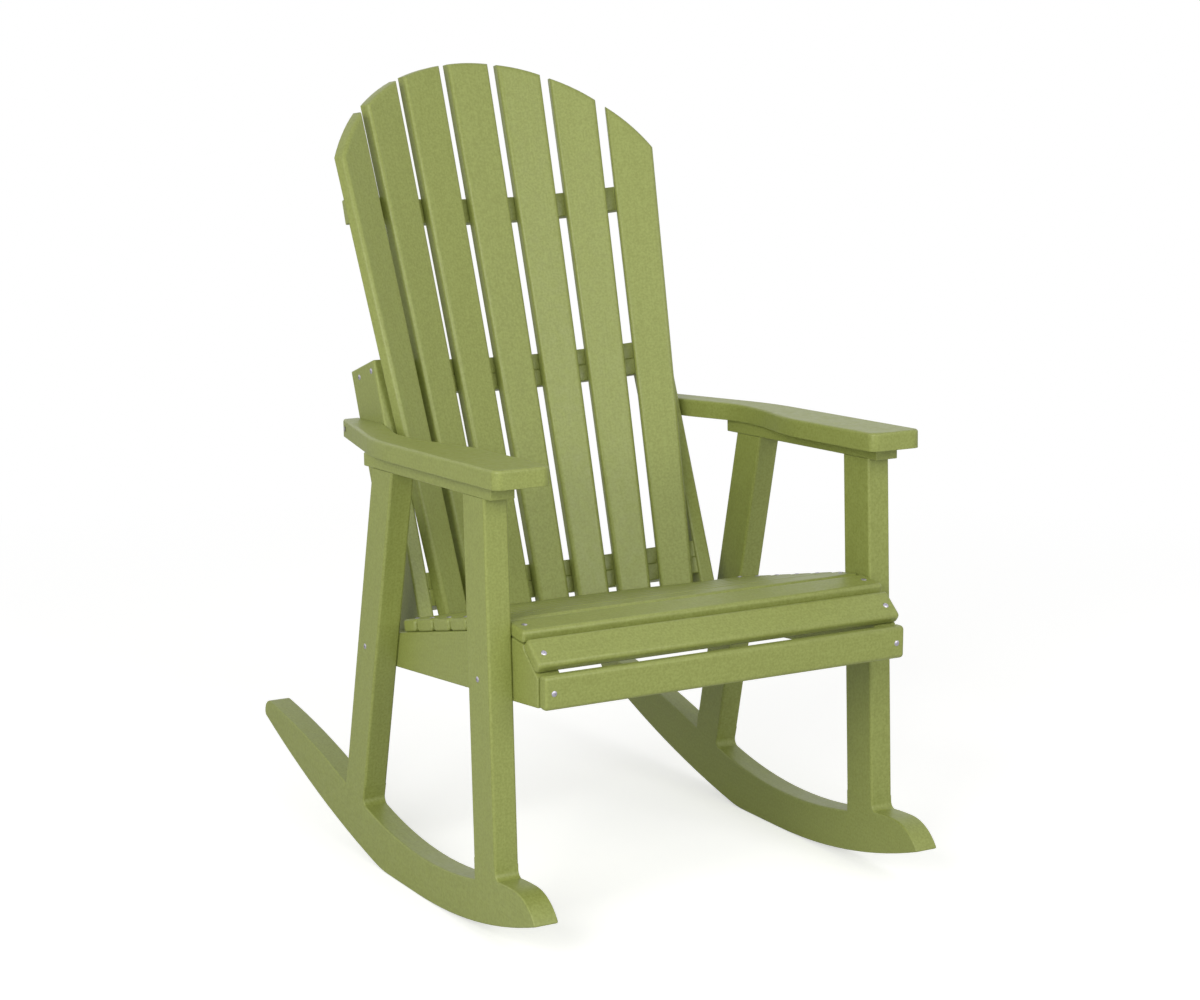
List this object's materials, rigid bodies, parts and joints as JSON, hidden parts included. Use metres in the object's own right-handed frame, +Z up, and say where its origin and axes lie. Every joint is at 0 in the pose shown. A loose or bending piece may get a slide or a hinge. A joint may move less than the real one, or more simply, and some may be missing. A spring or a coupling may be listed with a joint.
{
  "type": "rocking adirondack chair",
  "caption": "Rocking adirondack chair of green plastic lumber: fanned, crowned slat back, slatted seat, broad flat armrests and curved runners that roll on the floor.",
  "frame": {"origin": "on the floor, under the middle of the chair's bounding box", "axes": "+Z up, +X to the right seen from the front, the sitter faces -Y"},
  "size_m": [0.7132, 0.9474, 1.2132],
  "materials": {
    "plastic_lumber": "matte lime green with fine mottling and a faint grain",
    "stainless_steel": "bare stainless screw heads"
  },
  "bodies": {
    "root": {"apron": "plastic_lumber", "apron_screws": "stainless_steel", "arm_rail_left": "plastic_lumber", "arm_rail_right": "plastic_lumber", "arm_screws": "stainless_steel", "armrest_left": "plastic_lumber", "armrest_right": "plastic_lumber", "back_slat_1": "plastic_lumber", "back_slat_2": "plastic_lumber", "back_slat_3": "plastic_lumber", "back_slat_4": "plastic_lumber", "back_slat_5": "plastic_lumber", "back_slat_6": "plastic_lumber", "back_slat_7": "plastic_lumber", "bottom_rail_lower": "plastic_lumber", "bottom_rail_upper": "plastic_lumber", "front_leg_left": "plastic_lumber", "front_leg_right": "plastic_lumber", "leg_screws": "stainless_steel", "middle_rail_lower": "plastic_lumber", "middle_rail_upper": "plastic_lumber", "rear_leg_left": "plastic_lumber", "rear_leg_right": "plastic_lumber", "runner_left": "plastic_lumber", "runner_right": "plastic_lumber", "seat_front_slat": "plastic_lumber", "seat_nose_slat": "plastic_lumber", "seat_rear_board": "plastic_lumber", "seat_screws": "stainless_steel", "seat_slat_1": "plastic_lumber", "seat_slat_2": "plastic_lumber", "seat_slat_3": "plastic_lumber", "seat_slat_4": "plastic_lumber", "seat_slat_5": "plastic_lumber", "side_rail_left": "plastic_lumber", "side_rail_right": "plastic_lumber", "top_rail": "plastic_lumber", "upright_left": "plastic_lumber", "upright_right": "plastic_lumber", "upright_screws": "stainless_steel"}
  },
  "joints": []
}
